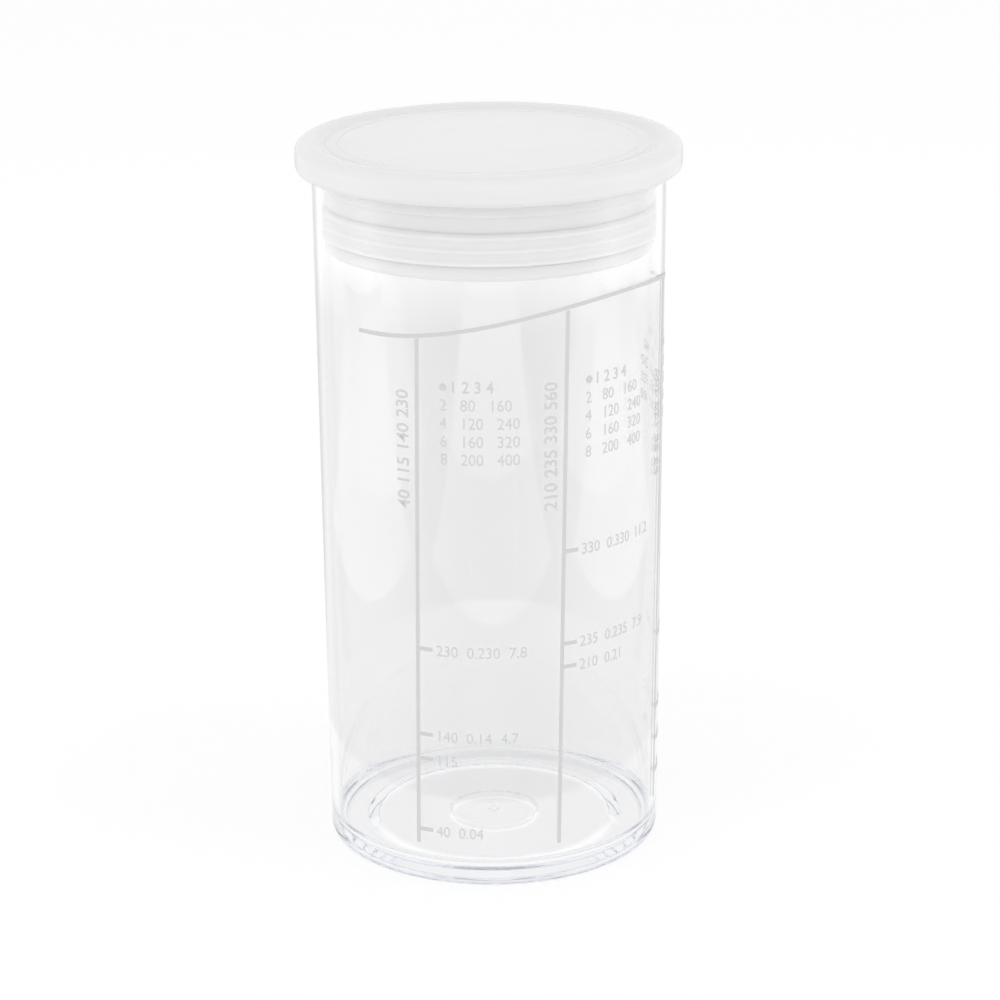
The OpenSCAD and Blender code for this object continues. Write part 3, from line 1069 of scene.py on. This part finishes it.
def studio_air(g):
    """White where it is seen, and the soft light from all round where it isn't."""
    world = bpy.data.worlds.new("Studio air")
    bpy.context.scene.world = world
    world.use_nodes = True
    tree = world.node_tree
    tree.nodes.clear()
    way = tree.nodes.new("ShaderNodeTexCoord").outputs["Generated"]
    rise = add(tree, "ShaderNodeSeparateXYZ", Vector=way).outputs["Z"]
    lit = mapped(tree, rise, To_Min=g.side_light, To_Max=g.top_light)
    strength = between(tree, seen_ray(tree), lit, 1.0)
    sky = add(tree, "ShaderNodeBackground", Color=(1, 1, 1, 1), Strength=strength)
    out = tree.nodes.new("ShaderNodeOutputWorld")
    tree.links.new(sky.outputs[0], out.inputs["Surface"])


def round_sheet(r, z):
    """Points round a flat disc at a height."""
    angles = [2 * pi * i / FLOOR_STEPS for i in range(FLOOR_STEPS)]
    return [(r * cos(a), r * sin(a), z) for a in angles]


def stage_sheets(name, points, faces, finishes):
    """Flat faces of the stage as one object, the first in the first finish and the rest in the last."""
    mesh = bpy.data.meshes.new(name)
    mesh.from_pydata(points, [], faces)
    for finish in finishes:
        mesh.materials.append(finish)
    for polygon in mesh.polygons[1:]:
        polygon.material_index = len(finishes) - 1
    made = bpy.data.objects.new(name, mesh)
    bpy.context.collection.objects.link(made)
    return made


def lay_floor(g, b):
    """The round white floor just under the foot."""
    points = round_sheet(FLOOR_R, FLOOR_Z)
    stage_sheets("floor", points, [tuple(range(FLOOR_STEPS))], [floor_finish(g, b)])


def lay_cards(g):
    """Sheets of painted reflection: the dim table and the cards that lie on it, seen in mirrored rays
    alone, casting no shadow.
    """
    half, near, far = g.card_w / 2, g.card_d, g.card_d + g.card_l
    points = [Vector(point) for point in round_sheet(FLOOR_R / 2, TABLE_Z)]
    faces = [tuple(range(FLOOR_STEPS))]
    for side in CARD_SIDES:
        turn = Matrix.Rotation(radians(side), 3, "Z")
        faces.append(tuple(range(len(points), len(points) + 4)))
        for x, y in ((-half, -near), (-half, -far), (half, -far), (half, -near)):
            points.append(turn @ Vector((x, y, CARD_Z)))
    # Painted reflections: these sheets glow in mirrored rays alone
    table = mirrored_only("Dim table", painted_table_reflection, g)
    card = mirrored_only("Reflector card", painted_card_reflection, g)
    cards = stage_sheets("cards", points, faces, [table, card])
    cards.visible_diffuse = cards.visible_shadow = False


def softbox(name, place, aim, size, power):
    """A square lamp turned towards a point."""
    lamp = bpy.data.lights.new(name, "AREA")
    lamp.shape = "SQUARE"
    lamp.size = size
    lamp.energy = power
    holder = bpy.data.objects.new(name, lamp)
    bpy.context.collection.objects.link(holder)
    holder.location = place
    holder.rotation_euler = (Vector(aim) - Vector(place)).to_track_quat("-Z", "Y").to_euler()


def photo_camera():
    """The photograph's camera: slightly above, on the side of the scale, turned a little off the axis."""
    rise = radians(CAMERA_RISE)
    forward = Vector((0, cos(rise), -sin(rise)))
    right = Vector((1, 0, 0))
    up = right.cross(forward)
    pan = Matrix.Rotation(atan(PAN_PX / FOCAL_PX), 3, up)
    forward, right = pan @ forward, pan @ right
    tilt = Matrix.Rotation(atan(TILT_PX / FOCAL_PX), 3, right)
    forward = tilt @ forward
    up = right.cross(forward)
    roll = Matrix.Rotation(radians(CAMERA_ROLL), 3, forward)
    right, up = roll @ right, roll @ up
    data = bpy.data.cameras.new("Photo camera")
    data.lens = FOCAL_PX * SENSOR_W / PICTURE_PX
    data.sensor_width = SENSOR_W
    data.clip_start, data.clip_end = 0.01, 50
    holder = bpy.data.objects.new("Photo camera", data)
    bpy.context.collection.objects.link(holder)
    turn = Matrix((right, up, -forward)).transposed().to_4x4()
    place = Vector((0, -CAMERA_AWAY * cos(rise), CAMERA_AIM_Z + CAMERA_AWAY * sin(rise)))
    holder.matrix_world = Matrix.Translation(place) @ turn
    bpy.context.scene.camera = holder


class SHAKER_OT_stage(bpy.types.Operator):
    """Set up the white floor with its painted light rings, the soft light, the cards of painted reflection
    and the camera
    """

    bl_idname = "shaker.stage"
    bl_label = "Studio"

    def execute(self, context):
        scene, g = context.scene, context.scene.shaker_stage
        scene.view_settings.view_transform = "Standard"
        scene.cycles.caustics_reflective = False
        scene.cycles.caustics_refractive = False
        scene.cycles.max_bounces = scene.cycles.transmission_bounces = g.path_steps
        scene.cycles.glossy_bounces = scene.cycles.transparent_max_bounces = g.path_steps
        studio_air(g)
        lay_floor(g, scene.shaker_beaker)
        lay_cards(g)
        for name, (place, aim, size, power_name) in SOFTBOXES.items():
            softbox(name, place, aim, size, getattr(g, power_name))
        photo_camera()
        return {"FINISHED"}


class SHAKER_PT_panel(bpy.types.Panel):
    """The shaker's pieces and its studio"""

    bl_idname = "SHAKER_PT_panel"
    bl_label = "Dressing shaker"
    bl_space_type = "VIEW_3D"
    bl_region_type = "UI"
    bl_category = "Shaker"

    def draw(self, context):
        for operator in OPERATORS:
            self.layout.operator(operator.bl_idname)


GROUPS = {
    "shaker_beaker": ShakerBeaker,
    "shaker_lid": ShakerLid,
    "shaker_seal": ShakerSeal,
    "shaker_print": ShakerPrint,
    "shaker_stage": ShakerStage,
}
OPERATORS = (SHAKER_OT_beaker, SHAKER_OT_lid, SHAKER_OT_seal, SHAKER_OT_scale, SHAKER_OT_stage)


def register():
    """Registers the property groups, the operators and the panel."""
    for name, group_class in GROUPS.items():
        bpy.utils.register_class(group_class)
        setattr(bpy.types.Scene, name, PointerProperty(type=group_class))
    for cls in (*OPERATORS, SHAKER_PT_panel):
        bpy.utils.register_class(cls)


def unregister():
    """Takes the panel, the operators and the property groups off again."""
    for cls in (SHAKER_PT_panel, *reversed(OPERATORS)):
        bpy.utils.unregister_class(cls)
    for name, group_class in GROUPS.items():
        delattr(bpy.types.Scene, name)
        bpy.utils.unregister_class(group_class)


def main():
    """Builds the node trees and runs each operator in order."""
    register()
    turning_tree()
    wrapping_tree()
    moulded_skin()
    tone_drift()
    bpy.ops.shaker.beaker()
    bpy.ops.shaker.lid()
    bpy.ops.shaker.seal()
    bpy.ops.shaker.scale()
    bpy.ops.shaker.stage()


if __name__ == "__main__":
    main()
